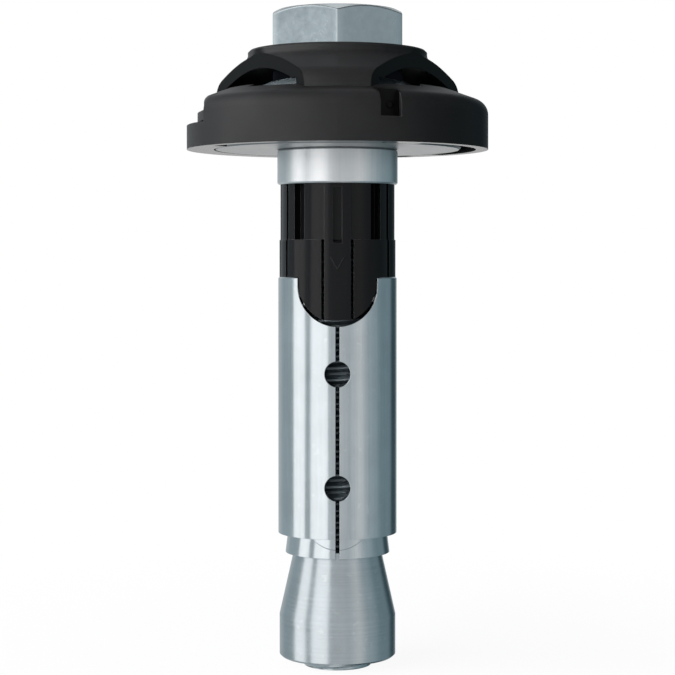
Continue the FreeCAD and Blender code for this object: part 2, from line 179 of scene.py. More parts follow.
class Graph:
    """Node tree of a material or of the world, built from code."""

    def __init__(self, tree: bpy.types.NodeTree) -> None:
        """Takes over a node tree and empties it."""
        self.tree = tree
        tree.nodes.clear()

    def put(self, socket: bpy.types.NodeSocket, value: Input) -> None:
        """Links a value to a socket, or sets it there if it is a constant.

        Args:
            socket: The input socket.
            value: The value. A colour for a colour socket may leave out its alpha.
        """
        if isinstance(value, Channel):
            self.tree.links.new(value.socket, socket)
        elif isinstance(value, bpy.types.NodeSocket):
            self.tree.links.new(value, socket)
        elif socket.type == "RGBA" and len(value) == 3:
            socket.default_value = (*value, 1.0)
        else:
            socket.default_value = value

    def node(
        self,
        kind: str,
        settings: dict[str, object] | None = None,
        inputs: dict[str | int, Input] | None = None,
    ) -> bpy.types.Node:
        """Adds a node.

        Args:
            kind: Blender's name of the node's type.
            settings: Properties, set before the sockets. "stops" holds a ramp's (position, colour) pairs.
            inputs: Values or links by socket name or number.

        Returns:
            The new node.
        """
        made = self.tree.nodes.new(kind)
        for name, value in (settings or {}).items():
            if name == "stops":
                self.set_stops(made, value)
            else:
                setattr(made, name, value)
        for name, value in (inputs or {}).items():
            self.put(made.inputs[name], value)
        return made

    @staticmethod
    def set_stops(ramp: bpy.types.Node, stops: Sequence[tuple[float, Colour]]) -> None:
        """Gives a colour ramp its stops.

        Args:
            ramp: The new Color Ramp node.
            stops: Positions from 0 to 1 in order, each with its colour.
        """
        elements = ramp.color_ramp.elements
        while len(elements) < len(stops):
            elements.new(1.0)
        for element, (position, colour) in zip(elements, stops):
            element.position = position
            element.color = (*colour, 1.0)

    def math(self, operation: str, *values: Input) -> Channel:
        """Result of a Math node on numbers and channels."""
        made = self.node("ShaderNodeMath", {"operation": operation}, dict(enumerate(values)))
        return Channel(self, made.outputs[0])

    def vector(self, operation: str, *values: Input) -> bpy.types.NodeSocket:
        """Vector result of a Vector Math node."""
        made = self.node("ShaderNodeVectorMath", {"operation": operation}, dict(enumerate(values)))
        return made.outputs["Vector"]

    def vector_number(self, operation: str, *values: Input) -> Channel:
        """Number result of a Vector Math node."""
        made = self.node("ShaderNodeVectorMath", {"operation": operation}, dict(enumerate(values)))
        return Channel(self, made.outputs["Value"])

    def mix(self, factor: Input, low: Input, high: Input) -> bpy.types.NodeSocket:
        """Mixes two colours.

        Args:
            factor: Share of the second colour.
            low: The first colour.
            high: The second colour.

        Returns:
            The mixed colour.
        """
        made = self.node("ShaderNodeMix", {"data_type": "RGBA"}, {"Factor": factor})
        colours = [socket for socket in made.inputs if socket.type == "RGBA"]
        self.put(colours[0], low)
        self.put(colours[1], high)
        return next(socket for socket in made.outputs if socket.type == "RGBA")

    def noise(self, place: Input, mottle: Mottle) -> Channel:
        """Adds a noise.

        Args:
            place: Position at which it is read.
            mottle: Its scale and character.

        Returns:
            Its value, between 0 and 1.
        """
        made = self.node(
            "ShaderNodeTexNoise",
            {"noise_dimensions": "3D"},
            {"Vector": place, "Scale": mottle.scale, "Detail": mottle.detail, "Roughness": mottle.roughness},
        )
        return Channel(self, made.outputs["Fac"])

    def place(self) -> bpy.types.NodeSocket:
        """Position in the object's own frame, in metres."""
        return self.node("ShaderNodeTexCoord").outputs["Object"]

    def parts(self, vector: Input) -> tuple[Channel, Channel, Channel]:
        """The three numbers of a vector."""
        made = self.node("ShaderNodeSeparateXYZ", None, {"Vector": vector})
        return tuple(Channel(self, made.outputs[axis]) for axis in "XYZ")

    def edges(self, radius: float) -> tuple[Channel, bpy.types.NodeSocket]:
        """Finds the worn strip along a solid's edges.

        Args:
            radius: Reach of the strip on each side of an edge, in metres.

        Returns:
            A mask that is 1 on the edge, and a normal that rounds it.
        """
        bevel = self.node("ShaderNodeBevel", {"samples": WEAR_SAMPLES}, {"Radius": radius})
        normal = self.node("ShaderNodeNewGeometry").outputs["Normal"]
        turn = 1.0 - self.vector_number("DOT_PRODUCT", bevel.outputs["Normal"], normal)
        return turn.ramp(WEAR_START, WEAR_FULL), bevel.outputs["Normal"]

    def bump(self, strength: float, depth: float, height: Channel, normal: Input) -> bpy.types.NodeSocket:
        """Adds a relief.

        Args:
            strength: Share of the relief that shows.
            depth: Depth of the relief in metres.
            height: The relief's height.
            normal: The normal that it starts from.

        Returns:
            The normal with the relief.
        """
        made = self.node(
            "ShaderNodeBump",
            None,
            {"Strength": strength, "Distance": depth, "Height": height, "Normal": normal},
        )
        return made.outputs["Normal"]

    def glow(self, strength: float) -> bpy.types.NodeSocket:
        """Shader of plain white light."""
        light = self.node("ShaderNodeEmission", None, {"Color": WHITE, "Strength": strength})
        return light.outputs["Emission"]

    def paper(self, grey: float) -> bpy.types.NodeSocket:
        """Shader of a dull grey surface."""
        return self.node("ShaderNodeBsdfDiffuse", None, {"Color": scaled(WHITE, grey)}).outputs["BSDF"]

    def mix_shader(self, factor: Input, first: Input, second: Input) -> bpy.types.NodeSocket:
        """Shader between two shaders, the second one at a factor of 1."""
        return self.node("ShaderNodeMixShader", None, {0: factor, 1: first, 2: second}).outputs["Shader"]

    def finish(self, shader: Input, kind: str = "ShaderNodeOutputMaterial") -> None:
        """Links a shader to the output."""
        self.node(kind, None, {"Surface": shader})


def new_material(name: str) -> tuple[bpy.types.Material, Graph]:
    """Makes a material.

    Args:
        name: Its name.

    Returns:
        The material and its empty graph.
    """
    made = bpy.data.materials.new(name)
    made.use_nodes = True
    return made, Graph(made.node_tree)


@dataclass(frozen=True)
class Finish:
    """Finish of a piece, which becomes one material, and the record's slot that it belongs to."""

    name: str
    slot: str
    colour: Colour

    def surface(self, graph: Graph, place: Input) -> dict[str, Input]:
        """Values of the shader's sockets by name, which each kind of finish works out."""
        raise NotImplementedError

    def material(self) -> bpy.types.Material:
        """Builds the material.

        Returns:
            The new material.
        """
        made, graph = new_material(self.name)
        shader = graph.node("ShaderNodeBsdfPrincipled", None, self.surface(graph, graph.place()))
        graph.finish(shader.outputs["BSDF"])
        return made


class Grain(Enum):
    """How a metal's fine lines run: cells of their noise in a metre along x, y and z."""

    DRAWN = (2600.0, 2600.0, 60.0)
    TURNED = (50.0, 50.0, 5200.0)
    TUMBLED = (900.0, 900.0, 900.0)


LINES = Mottle(1.0, 3.0, 0.6, low=0.25, high=0.75)
CLOUDS = Mottle(190.0, 3.0, 0.55)
CRYSTALS = Mottle(3800.0)
SPECKS = Mottle(1500.0, 0.0, low=0.72, high=0.80)
FLOW = Mottle(1.0, 3.0, 0.6)
DUST = Mottle(2400.0, 1.0, low=0.74, high=0.84)


@dataclass(frozen=True)
class ZincFinish(Finish):
    """Zinc plated steel with a thin passivation, fine lines in one direction and bare bright edges.

    The dull clouds keep dull_share of the colour, and bare metal keeps bare_share and is lifted towards
    white. A cover is how much of a mark shows, a sway is how far a noise moves the roughness, and the depths
    of lines and crystals are shares of bump_depth.
    """

    grain: Grain
    roughness: float = 0.24
    metallic: float = 1.0
    dull_share: float = 0.86
    bare_share: float = 0.45
    bare_lift: float = 0.50
    cloud_cover: float = 0.55
    line_cover: float = 0.45
    speck_cover: float = 0.2
    edge_cover: float = 0.7
    cloud_sway: float = 0.10
    line_sway: float = 0.12
    crystal_sway: float = 0.06
    edge_polish: float = 0.05
    least_roughness: float = 0.06
    line_depth: float = 1.0
    crystal_depth: float = 0.4
    bump_strength: float = 0.25
    bump_depth: float = 0.004 * MM
    edge_reach: float = 0.12 * MM

    def shaded(self, graph: Graph, place: Input, body: Input) -> tuple[Input, Input]:
        """Colour and metallic share with the painted shade of the piece, of which there is none here."""
        return body, self.metallic

    def surface(self, graph: Graph, place: Input) -> dict[str, Input]:
        """Works out the zinc's colour, roughness and fine relief.

        Args:
            graph: The material's graph.
            place: Position in the object's frame.

        Returns:
            Values of the shader's sockets by name.
        """
        lines = graph.noise(graph.vector("MULTIPLY", place, self.grain.value), LINES)
        clouds = graph.noise(place, CLOUDS)
        crystals = graph.noise(place, CRYSTALS)
        specks = SPECKS.mask(graph.noise(place, SPECKS))
        worn, rounded = graph.edges(self.edge_reach)
        bare = scaled(self.colour, self.bare_share, self.bare_lift)
        bright = CLOUDS.mask(clouds) * self.cloud_cover + LINES.mask(lines) * self.line_cover
        body = graph.mix(bright, scaled(self.colour, self.dull_share), self.colour)
        body, metallic = self.shaded(graph, place, graph.mix(specks * self.speck_cover, body, bare))
        rough = self.roughness + clouds.sway(self.cloud_sway) + lines.sway(self.line_sway)
        rough = rough + crystals.sway(self.crystal_sway) - worn * self.edge_polish
        relief = lines.sway(self.line_depth) + crystals.sway(self.crystal_depth)
        return {
            "Base Color": graph.mix(worn * self.edge_cover, body, bare),
            "Metallic": metallic,
            "Roughness": rough.at_least(self.least_roughness),
            "Normal": graph.bump(self.bump_strength, self.bump_depth, relief, rounded),
        }


@dataclass(frozen=True)
class BoltFinish(ZincFinish):
    """The bolt's zinc with painted shade on the thread, on upright faces in the cage and on the flange's
    cone.

    A face counts as sloping by the upward part of its normal, between slope_start and slope_full. Heights
    are counted from the bolt's end, in metres.
    """

    # Painted shade: the thread inside the sleeve is darker than the bolt's zinc, and less metallic.
    thread_shade_colour: Colour = (0.10, 0.125, 0.14)
    # Painted shade: upright faces inside the cage are near black.
    caged_shade_colour: Colour = (0.005, 0.006, 0.008)
    # Painted shade: the flange's cone inside the cage is a dim grey, and less metallic.
    caged_slope_shade_colour: Colour = (0.095, 0.115, 0.125)
    # Metallic share of the painted shade on the thread and on the flange's cone.
    shade_metallic: float = 0.35
    thread_r: float = 6.3 * MM
    # Below this height the bolt's end keeps its zinc, without painted shade.
    bright_end: float = 1.3 * MM
    cage_bottom: float = 82.0 * MM
    cage_top: float = 90.0 * MM
    slope_start: float = 0.3
    slope_full: float = 0.7
    fade: float = 0.5 * MM

    def shaded(self, graph: Graph, place: Input, body: Input) -> tuple[Input, Input]:
        """Adds the painted shade on the thread and on the faces inside the cage.

        Args:
            graph: The material's graph.
            place: Position in the object's frame.
            body: The zinc's colour.

        Returns:
            The colour and the metallic share.
        """
        east, north, up = graph.parts(place)
        radius = graph.math("SQRT", east * east + north * north)
        above_end = up.ramp(self.bright_end, self.bright_end + self.fade)
        # Painted shade on the thread, all but the bolt's end.
        thread = above_end * (1.0 - radius.ramp(self.thread_r, self.thread_r + self.fade))
        facing_up = graph.parts(graph.node("ShaderNodeTexCoord").outputs["Normal"])[2]
        sloping = facing_up.ramp(self.slope_start, self.slope_full)
        inside = 1.0 - up.ramp(self.cage_top - self.fade, self.cage_top)
        inside = inside * up.ramp(self.cage_bottom, self.cage_bottom + self.fade)
        # Painted shade inside the cage: near black on upright faces, dim grey on sloping ones.
        body = graph.mix(inside * (1.0 - sloping), body, self.caged_shade_colour)
        body = graph.mix(inside * sloping, body, self.caged_slope_shade_colour)
        # The painted shade on the thread and on the sloping faces is less metallic.
        shade_dulled = thread.at_least(inside * sloping)
        metallic = self.metallic - shade_dulled * (self.metallic - self.shade_metallic)
        return graph.mix(thread, body, self.thread_shade_colour), metallic


@dataclass(frozen=True)
class PlasticFinish(Finish):
    """Black moulded plastic with a fine texture, flow marks and slightly polished edges.

    Sizes are in metres. flow counts the cells of the flow marks in a metre along x, y and z, and the marks
    keep dark_share of the colour. A cover is how much of a mark shows, and a sway is how far a noise moves
    the roughness.
    """

    roughness: float
    texture_size: float
    texture_depth: float
    edge_colour: Colour
    refraction: float
    flow: Point = (60.0, 60.0, 60.0)
    dark_share: float = 0.72
    edge_cover: float = 0.6
    dust_cover: float = 0.20
    texture_contrast: float = 0.6
    texture_sway: float = 0.10
    flow_sway: float = 0.10
    flow_depth: float = 0.5
    bump_strength: float = 0.35
    edge_polish: float = 0.04
    least_roughness: float = 0.05
    edge_reach: float = 0.10 * MM

    def shaded(self, graph: Graph, place: Input, body: Input) -> Input:
        """Colour with the painted shade of the piece, of which there is none here."""
        return body

    def smoothed(self, graph: Graph, place: Input, rough: Channel) -> Channel:
        """Roughness with the smooth places of the piece, of which there are none here."""
        return rough

    def surface(self, graph: Graph, place: Input) -> dict[str, Input]:
        """Works out the plastic's colour, roughness and texture.

        Args:
            graph: The material's graph.
            place: Position in the object's frame.

        Returns:
            Values of the shader's sockets by name.
        """
        flow = graph.noise(graph.vector("MULTIPLY", place, self.flow), FLOW)
        texture = graph.noise(place, Mottle(1.0 / self.texture_size, roughness=self.texture_contrast))
        dust = DUST.mask(graph.noise(place, DUST))
        worn, rounded = graph.edges(self.edge_reach)
        body = graph.mix(FLOW.mask(flow), scaled(self.colour, self.dark_share), self.colour)
        body = graph.mix(worn * self.edge_cover, body, self.edge_colour)
        body = graph.mix(dust * self.dust_cover, body, self.edge_colour)
        rough = self.roughness + texture.sway(self.texture_sway) + flow.sway(self.flow_sway)
        rough = self.smoothed(graph, place, rough) - worn * self.edge_polish
        relief = texture + flow * self.flow_depth
        return {
            "Base Color": self.shaded(graph, place, body),
            "Roughness": rough.at_least(self.least_roughness),
            "IOR": self.refraction,
            "Normal": graph.bump(self.bump_strength, self.texture_depth, relief, rounded),
        }


@dataclass(frozen=True)
class CageFinish(PlasticFinish):
    """The cage's plastic, with painted shade in the sight notch and on the three flats, and smooth under the
    rim.

    Distances are counted from the axis and heights from the bolt's end, in metres. Angles are in degrees.
    """

    # Painted shade: near black on the walls of the sight notch and on the three flats.
    painted_shade_colour: Colour = (0.001, 0.001, 0.001)
    flat_azimuths: tuple[float, ...] = (-60.0, 60.0, 180.0)
    flat_distance: float = 13.45 * MM
    flat_slack: float = 0.04 * MM
    flat_bottom: float = 84.5 * MM
    notch_r: float = 21.6 * MM
    notch_reach: float = 2.0 * MM
    notch_reach_fade: float = 0.2 * MM
    notch_half_width: float = 1.8 * MM
    notch_top: float = 85.0 * MM
    rim_face: float = 77.1 * MM
    rim_face_roughness: float = 0.24
    fade: float = 0.15 * MM

    def shaded(self, graph: Graph, place: Input, body: Input) -> Input:
        """Colour with painted shade, near black, on the walls of the sight notch and on the flats."""
        painted_shade = self.in_notch(graph, place).at_least(self.on_flat(graph, place))
        return graph.mix(painted_shade, body, self.painted_shade_colour)

    def smoothed(self, graph: Graph, place: Input, rough: Channel) -> Channel:
        """Roughness with the smooth flat face under the rim."""
        below = 1.0 - graph.parts(place)[2].ramp(self.rim_face, self.rim_face + self.fade)
        return rough + (self.rim_face_roughness - rough) * below

    def on_flat(self, graph: Graph, place: Input) -> Channel:
        """Finds the three upright flats that the windows open in, where shade is painted.

        Args:
            graph: The material's graph.
            place: Position in the object's frame.

        Returns:
            A mask that is 1 on the flats.
        """
        found = []
        for azimuth in self.flat_azimuths:
            off = abs(graph.vector_number("DOT_PRODUCT", place, outward(azimuth)) - self.flat_distance)
            found.append(1.0 - off.ramp(self.flat_slack, self.flat_slack + self.fade))
        above = graph.parts(place)[2].ramp(self.flat_bottom, self.flat_bottom + self.fade)
        return found[0].at_least(found[1]).at_least(found[2]) * above

    def in_notch(self, graph: Graph, place: Input) -> Channel:
        """Finds the walls of the sight notch, where shade is painted.

        Args:
            graph: The material's graph.
            place: Position in the object's frame.

        Returns:
            A mask that is 1 on the walls.
        """
        outwards = graph.vector_number("DOT_PRODUCT", place, outward(NOTCH_AZIMUTH))
        aside = abs(graph.vector_number("DOT_PRODUCT", place, outward(NOTCH_AZIMUTH + 90.0)))
        up = graph.parts(place)[2]
        innermost = self.notch_r - self.notch_reach
        sunk = 1.0 - outwards.ramp(self.notch_r - self.fade, self.notch_r)
        between = 1.0 - aside.ramp(self.notch_half_width, self.notch_half_width + self.fade)
        under_top = 1.0 - up.ramp(self.notch_top - self.fade, self.notch_top)
        in_rim = outwards.ramp(innermost, innermost + self.notch_reach_fade)
        return sunk * between * under_top * in_rim


BOLT_ZINC = BoltFinish("bolt_zinc", "zinc_bolt", (0.52, 0.585, 0.615), Grain.TUMBLED, speck_cover=0.08)
CONE_ZINC = ZincFinish("cone_zinc", "zinc_cone", (0.60, 0.65, 0.68), Grain.TURNED, roughness=0.22)
SLEEVE_ZINC = ZincFinish("sleeve_zinc", "zinc_sleeve", (0.66, 0.71, 0.74), Grain.DRAWN, roughness=0.16)
SPACER_ZINC = ZincFinish("spacer_zinc", "zinc_spacer", (0.93, 0.945, 0.96), Grain.DRAWN, roughness=0.34)
WASHER_ZINC = ZincFinish("washer_zinc", "zinc_washer", (0.315, 0.32, 0.325), Grain.TUMBLED, roughness=0.38)
SPRING_STEEL = ZincFinish(
    "dark_spring_steel", "spring_steel", (0.30, 0.31, 0.32), Grain.TURNED, roughness=0.35
)
GLOSS_BLACK = PlasticFinish(
    "gloss_black_plastic",
    "black_gloss_plastic",
    (0.003, 0.003, 0.0035),
    roughness=0.15,
    texture_size=0.35 * MM,
    texture_depth=0.004 * MM,
    edge_colour=(0.040, 0.040, 0.042),
    refraction=1.31,
    flow=(900.0, 900.0, 30.0),
)
SATIN_BLACK = CageFinish(
    "satin_black_plastic",
    "black_matte_plastic",
    (0.014, 0.014, 0.0145),
    roughness=0.42,
    texture_size=0.16 * MM,
    texture_depth=0.010 * MM,
    edge_colour=(0.045, 0.045, 0.047),
    refraction=1.22,
)


def mesh_object(name: str, mesh: bmesh.types.BMesh, smooth_angle: float = 35.0) -> bpy.types.Object:
    """Makes a piece from mesh code.

    Args:
        name: The piece's name.
        mesh: Its mesh in metres, which is freed.
        smooth_angle: Edges sharper than this many degrees stay sharp.

    Returns:
        The linked object.
    """
    bmesh.ops.remove_doubles(mesh, verts=mesh.verts, dist=MERGE_DISTANCE)
    bmesh.ops.dissolve_degenerate(mesh, edges=mesh.edges, dist=MERGE_DISTANCE)
    bmesh.ops.recalc_face_normals(mesh, faces=mesh.faces)
    limit = math.radians(smooth_angle)
    for face in mesh.faces:
        face.smooth = True
    for edge in mesh.edges:
        edge.smooth = len(edge.link_faces) == 2 and edge.calc_face_angle(0.0) < limit
    data = bpy.data.meshes.new(name)
    mesh.to_mesh(data)
    mesh.free()
    made = bpy.data.objects.new(name, data)
    bpy.context.scene.collection.objects.link(made)
    return made


def skin(mesh: bmesh.types.BMesh, rings: Iterable[Sequence[Point]], closed: bool = True) -> list[list]:
    """Joins rings of points, all of one count, into a skin of quads.

    Args:
        mesh: The mesh that is added to.
        rings: Rings of points in metres, in order.
        closed: Whether each ring runs back to its first point.

    Returns:
        The vertices of each ring.
    """
    rows = [[mesh.verts.new(point) for point in ring] for ring in rings]
    count = len(rows[0])
    last = count if closed else count - 1
    for low, high in zip(rows, rows[1:]):
        for index in range(last):
            after = (index + 1) % count
            mesh.faces.new((low[index], low[after], high[after], high[index]))
    return rows


def fan(mesh: bmesh.types.BMesh, rim: Sequence[bmesh.types.BMVert], height: float) -> None:
    """Closes a ring of vertices with triangles round a point on the axis.

    Args:
        mesh: The mesh that is added to.
        rim: The ring's vertices, in order.
        height: Height of the point, in metres.
    """
    middle = mesh.verts.new((0.0, 0.0, height))
    for index, vertex in enumerate(rim):
        mesh.faces.new((vertex, rim[(index + 1) % len(rim)], middle))


class Dresser:
    """Gives pieces and CAD nodes their finishes, one material for each finish."""

    def __init__(self) -> None:
        """Starts with no material made."""
        self.made: dict[str, bpy.types.Material] = {}

    def material(self, finish: Finish) -> bpy.types.Material:
        """The finish's material, built once."""
        if finish.name not in self.made:
            self.made[finish.name] = finish.material()
        return self.made[finish.name]

    def node(self, name: str, finish: Finish) -> None:
        """Dresses a CAD node.

        Args:
            name: The node's name.
            finish: Its finish.
        """
        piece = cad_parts[name]
        for slot in piece.material_slots:
            slot.material = self.material(finish)
        LOG.info("node %s: %s", name, finish.name)

    def piece(self, piece: bpy.types.Object, body: str, finish: Finish) -> None:
        """Dresses a new piece and lets it ride on a body.

        Args:
            piece: The piece.
            body: Name of the body.
            finish: The piece's finish.
        """
        piece.data.materials.append(self.material(finish))
        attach(piece, body)
        LOG.info("piece %s on %s: %d faces, %s", piece.name, body, len(piece.data.polygons), finish.name)


@dataclass
class Bolt:
    """Hexagon flange bolt with a cut thread. Lengths in millimetres, angles in degrees."""

    thread_d: float = 12.0
    pitch: float = 1.75
    thread_depth_share: float = 0.6134
    thread_crest_share: float = 0.125
    thread_flank_angle: float = 30.0
    thread_top: float = 71.0
    end_d: float = 10.0
    end_bevel: float = 1.0
    head_h: float = 13.4
    hex_across_flats: float = 19.0
    hex_face_d: float = 18.4
    hex_face_inset: float = 0.12
    hex_bevel_angle: float = 30.0
    hex_edge_inset: float = 0.08
    hex_edge_sink: float = 0.02
    hex_edge_drop: float = 0.12
    hex_corner_round: float = 0.2
    hex_corner_turns: tuple[float, ...] = (-30.0, -15.0, 0.0, 15.0, 30.0)
    hex_side_shares: tuple[float, ...] = (0.1, 0.2, 0.35, 0.5, 0.65, 0.8, 0.9)
    flange_d: float = 25.2
    flange_edge_t: float = 1.8
    flange_cone_angle: float = 23.5
    flange_edge_round: float = 0.45
    flange_under_bevel: float = 0.2
    flange_into_hexagon: float = 1.0
    top_dish_d: float = 13.5
    top_dish_slope: float = 0.5
    top_dish_depth: float = 0.25
    smooth_angle: float = 20.0
    steps: int = 72
    round_steps: int = 4

    def build(self, dresser: Dresser) -> None:
        """Builds the bolt in the place of its plain solid.

        Args:
            dresser: Gives the bolt its finish.
        """
        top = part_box("flange_bolt")[1].z / MM
        mesh = bmesh.new()
        self.add_shank(mesh, top - self.head_h)
        self.add_flange(mesh, top - self.head_h)
        self.add_hexagon(mesh, top)
        piece = mesh_object("threaded_bolt", mesh, self.smooth_angle)
        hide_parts("flange_bolt")
        dresser.piece(piece, "bolt", BOLT_ZINC)

    def circle(self, radius: float, z: float) -> list[Point]:
        """Ring of points in metres from a radius and height in millimetres."""
        angles = [360.0 * step / self.steps for step in range(self.steps)]
        return [metres(polar(radius, angle, z)) for angle in angles]

    def end_radius(self, z: float) -> float:
        """Radius that the bevel at the bolt's end leaves at a height."""
        rise = min(max(z / self.end_bevel, 0.0), 1.0)
        return self.end_d / 2 + rise * (self.thread_d - self.end_d) / 2

    def thread_profile(self) -> list[tuple[float, float]]:
        """Works out the thread's section, a little longer than the thread at both ends.

        Returns:
            (height, radius) of its points, from the lowest up.
        """
        crest_r = self.thread_d / 2
        depth = self.thread_depth_share * self.pitch
        flank = depth * math.tan(math.radians(self.thread_flank_angle))
        crest = self.thread_crest_share * self.pitch
        root = self.pitch - crest - 2 * flank
        offsets = (0.0, root, root + flank, root + flank + crest)
        radii = (crest_r - depth, crest_r - depth, crest_r, crest_r)
        profile = []
        for turn in range(-1, math.ceil(self.thread_top / self.pitch) + 1):
            for offset, radius in zip(offsets, radii):
                profile.append((turn * self.pitch + offset, radius))
        return profile

    def add_shank(self, mesh: bmesh.types.BMesh, flange_z: float) -> None:
        """Adds the threaded shank, its bevelled end and its plain neck.

        Args:
            mesh: The mesh that is added to.
            flange_z: Height of the flange's underside.
        """
        profile = self.thread_profile()
        rings = []
        for step in range(self.steps + 1):
            rise = self.pitch * step / self.steps
            ring = []
            for z, radius in profile:
                height = min(max(z + rise, 0.0), self.thread_top)
                bounded = min(radius, self.end_radius(height))
                ring.append(metres(polar(bounded, 360.0 * step / self.steps, height)))
            rings.append(ring)
        skin(mesh, rings, closed=False)
        fan(mesh, [mesh.verts.new(point) for point in self.circle(self.end_d / 2, 0.0)], 0.0)
        crest_r = self.thread_d / 2
        root_r = crest_r - self.thread_depth_share * self.pitch
        neck = [self.circle(root_r, self.thread_top), self.circle(crest_r, self.thread_top + self.pitch)]
        neck.append(self.circle(crest_r, flange_z))
        skin(mesh, neck)

    def add_flange(self, mesh: bmesh.types.BMesh, flange_z: float) -> None:
        """Adds the flange with its rounded edge and its cone.

        Args:
            mesh: The mesh that is added to.
            flange_z: Height of the flange's underside.
        """
        flange_r = self.flange_d / 2
        rounding = self.flange_edge_round
        edge_top = flange_z + self.flange_edge_t
        slope = math.radians(self.flange_cone_angle)
        rings = [self.circle(self.thread_d / 2, flange_z)]
        rings.append(self.circle(flange_r - self.flange_under_bevel, flange_z))
        rings.append(self.circle(flange_r, flange_z + self.flange_under_bevel))
        for step in range(self.round_steps + 1):
            turn = (math.pi / 2 - slope) * step / self.round_steps
            radius = flange_r - rounding * (1 - math.cos(turn))
            rings.append(self.circle(radius, edge_top - rounding + rounding * math.sin(turn)))
        shoulder_r = flange_r - rounding * (1 - math.sin(slope))
        shoulder_z = edge_top - rounding * (1 - math.cos(slope))
        inner_r = self.hex_across_flats / 2 - self.flange_into_hexagon
        rings.append(self.circle(inner_r, shoulder_z + (shoulder_r - inner_r) * math.tan(slope)))
        skin(mesh, rings)

    def corner_point(self, corner: float, turn: float) -> tuple[float, float]:
        """Finds a point on the rounding of one of the hexagon's corners.

        Args:
            corner: Azimuth of the corner.
            turn: Azimuth that the outline faces at the point.

        Returns:
            Its distances from the axis, sideways and to the front.
        """
        rounding = self.hex_corner_round
        reach = (self.hex_across_flats / 2 - rounding) / math.cos(math.pi / 6)
        sideways = reach * math.sin(math.radians(corner)) + rounding * math.sin(math.radians(turn))
        frontwards = reach * math.cos(math.radians(corner)) + rounding * math.cos(math.radians(turn))
        return sideways, frontwards

    def hexagon(self) -> list[tuple[float, float]]:
        """Works out the hexagon's outline, with rounded corners and one of them at the front.

        Returns:
            (radius, azimuth) of its points.
        """
        points = []
        for corner in range(0, 360, 60):
            points.extend(self.corner_point(corner, corner + turn) for turn in self.hex_corner_turns)
            start = points[-1]
            end = self.corner_point(corner + 60, corner + 30)
            for share in self.hex_side_shares:
                points.append(tuple(a + share * (b - a) for a, b in zip(start, end)))
        return [(math.hypot(x, y), math.degrees(math.atan2(x, y))) for x, y in points]

    def bevel_z(self, radius: float, top: float) -> float:
        """Height of the bevel round the hexagon's top at a radius."""
        fall = math.tan(math.radians(self.hex_bevel_angle))
        return top - max(radius - self.hex_face_d / 2, 0.0) * fall

    def add_hexagon(self, mesh: bmesh.types.BMesh, top: float) -> None:
        """Adds the hexagon, its bevelled top and the shallow dish in it.

        Args:
            mesh: The mesh that is added to.
            top: Height of the hexagon's top.
        """
        sides = self.hexagon()
        bottom = top - self.head_h + self.flange_edge_t
        drop = self.hex_edge_drop
        inset = self.hex_edge_inset
        face_r = self.hex_face_d / 2
        dish_r = self.top_dish_d / 2
        dish_z = top - self.top_dish_depth
        levels = (
            [polar(radius, angle, bottom) for radius, angle in sides],
            [polar(radius, angle, self.bevel_z(radius, top) - drop) for radius, angle in sides],
            [
                polar(radius - inset, angle, self.bevel_z(radius - inset, top) - self.hex_edge_sink)
                for radius, angle in sides
            ],
            [polar(min(face_r, radius) - self.hex_face_inset, angle, top) for radius, angle in sides],
            [polar(dish_r, angle, top) for _, angle in sides],
            [polar(dish_r - self.top_dish_slope, angle, dish_z) for _, angle in sides],
        )
        rows = skin(mesh, [[metres(point) for point in level] for level in levels])
        fan(mesh, rows[-1], dish_z * MM)


